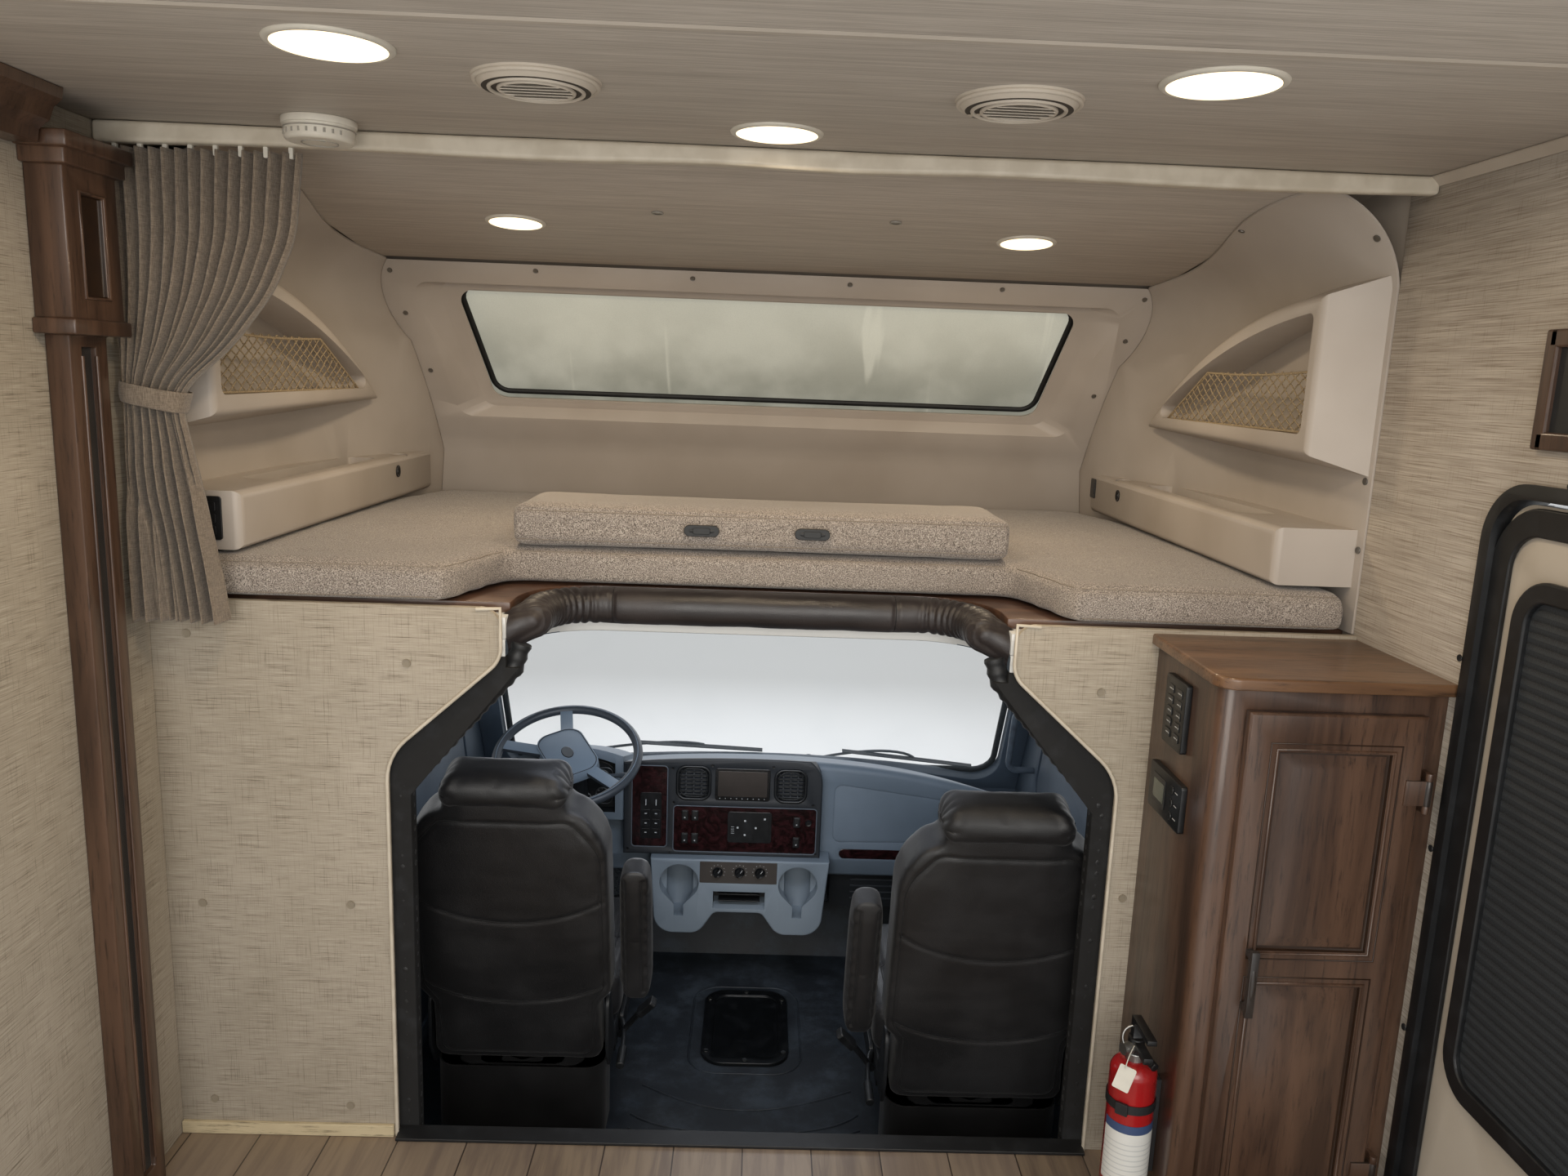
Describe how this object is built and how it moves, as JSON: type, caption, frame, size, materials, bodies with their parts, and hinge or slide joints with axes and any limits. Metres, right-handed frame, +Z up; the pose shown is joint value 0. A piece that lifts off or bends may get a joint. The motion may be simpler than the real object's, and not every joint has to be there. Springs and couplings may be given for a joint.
{
  "type": "motorhome front section with over-cab bunk",
  "caption": "Front section of a motorhome: driving cab with seats and dash, over-cab bunk with mattress, and the front of the living space with its cabinet and entry door",
  "frame": {"origin": "in the middle of the four bolt holes in the chassis rails' lower flanges, on the ground plane, straight below the rear face of the bulkhead", "axes": "+X to the vehicle's right, +Y forwards, +Z up"},
  "size_m": [2.559, 2.82, 2.75],
  "materials": {
    "black_frame": "semi-gloss black chassis paint with dust",
    "plank_floor": "pale planks, satin",
    "sandwich_wall": "gloss skin outside, papered inside",
    "ceiling_panel": "streaked pale panel, matt",
    "black_metal": "satin black",
    "door_skin": "gloss white skin",
    "tinted_glass": "dark tint",
    "clear_glass": "clear",
    "gelcoat": "gloss moulded skin",
    "liner_plastic": "warm beige moulding with fine grain",
    "net": "open tan mesh",
    "brown_wood": "matt brown board",
    "mattress_fabric": "heather grey-brown cloth",
    "wallpaper": "linen-look paper on board, cream edge band",
    "brown_leather": "dark brown, soft sheen",
    "rail_white": "cream",
    "curtain_cloth": "taupe cloth, tied back",
    "lamp_lens": "warm lit lens",
    "vent_plastic": "cream",
    "cabinet_wood": "stained and varnished, dark glaze in the grooves",
    "red_paint": "gloss red",
    "cab_paint": "gloss white outside, trim inside",
    "black_rubber": "ribbed mat",
    "black_plastic": "fine grain",
    "dash_plastic": "blue-grey, fine grain",
    "wheel_leather": "dark rim, grey pad"
  },
  "bodies": {
    "steering": {"steering_wheel": "wheel_leather"},
    "right_door": {"right_cab_door": "cab_paint", "right_cab_door_glass": "clear_glass"},
    "left_door": {"left_cab_door": "cab_paint", "left_cab_door_glass": "clear_glass"},
    "entry_leaf": {"entry_door": "door_skin", "entry_door_window": "tinted_glass"},
    "cabinet_leaf": {"cabinet_door": "cabinet_wood"},
    "driver_back": {"driver_seat_back": "brown_leather"},
    "driver_arm": {"driver_armrest": "brown_leather"},
    "passenger_back": {"passenger_seat_back": "brown_leather"},
    "passenger_arm": {"passenger_armrest": "brown_leather"},
    "section": {"chassis_rails": "black_frame", "floor_beams": "black_frame", "coach_floor": "plank_floor", "entry_step": "black_plastic", "left_side_wall": "sandwich_wall", "right_side_wall": "sandwich_wall", "roof_panel": "ceiling_panel", "entry_door_frame": "black_metal", "nose_cap": "gelcoat", "nose_window": "clear_glass", "window_surround": "liner_plastic", "left_bunk_liner": "liner_plastic", "right_bunk_liner": "liner_plastic", "pocket_nets": "net", "bunk_ceiling": "ceiling_panel", "bunk_board": "brown_wood", "bunk_mattress": "mattress_fabric", "filler_cushion": "mattress_fabric", "left_bulkhead": "wallpaper", "right_bulkhead": "wallpaper", "doorway_roll": "brown_leather", "curtain_rail": "rail_white", "bunk_curtain": "curtain_cloth", "ceiling_lamps": "lamp_lens", "ceiling_vents": "vent_plastic", "smoke_detector": "vent_plastic", "wall_post": "cabinet_wood", "cabinet_case": "cabinet_wood", "cabinet_top": "cabinet_wood", "control_panels": "vent_plastic", "fire_extinguisher": "red_paint", "cab_shell": "cab_paint", "windshield": "clear_glass", "left_cab_side": "cab_paint", "right_cab_side": "cab_paint", "grab_handle": "black_plastic", "cab_floor_mat": "black_rubber", "floor_cover": "black_plastic", "dash_body": "dash_plastic", "dash_centre": "black_plastic", "dash_console": "dash_plastic", "steering_column": "dash_plastic", "driver_seat_base": "black_metal", "driver_seat_cushion": "brown_leather", "passenger_seat_base": "black_metal", "passenger_seat_cushion": "brown_leather"}
  },
  "joints": [
    {"name": "steering_turn", "type": "hinge", "parent": "section", "child": "steering", "pos_m": [-0.565, 1.05, 1.134], "axis": [0, -0.4067, 0.9135], "range_deg": [-540, 540]},
    {"name": "right_door_swing", "type": "hinge", "parent": "section", "child": "right_door", "pos_m": [1.022, 1.44, 0.7], "axis": [0, 0, 1], "range_deg": [0, 65]},
    {"name": "left_door_swing", "type": "hinge", "parent": "section", "child": "left_door", "pos_m": [-1.022, 1.44, 0.7], "axis": [0, 0, -1], "range_deg": [0, 65]},
    {"name": "entry_door_swing", "type": "hinge", "parent": "section", "child": "entry_leaf", "pos_m": [1.282, -0.378, 1.25], "axis": [0, 0, 1], "range_deg": [0, 110]},
    {"name": "cabinet_door_swing", "type": "hinge", "parent": "section", "child": "cabinet_leaf", "pos_m": [1.192, -0.345, 1.22], "axis": [0, 0, 1], "range_deg": [0, 90]},
    {"name": "driver_recline", "type": "hinge", "parent": "section", "child": "driver_back", "pos_m": [-0.568, 0.38352, 0.71899], "axis": [-1, 0, 0], "range_deg": [0, 35]},
    {"name": "driver_arm_fold", "type": "hinge", "parent": "driver_back", "child": "driver_arm", "pos_m": [-0.275, 0.36481, 0.80702], "axis": [-1, 0, 0], "range_deg": [0, 95]},
    {"name": "passenger_recline", "type": "hinge", "parent": "section", "child": "passenger_back", "pos_m": [0.56, 0.25852, 0.71899], "axis": [-1, 0, 0], "range_deg": [0, 35]},
    {"name": "passenger_arm_fold", "type": "hinge", "parent": "passenger_back", "child": "passenger_arm", "pos_m": [0.267, 0.23981, 0.80702], "axis": [-1, 0, 0], "range_deg": [0, 95]}
  ]
}
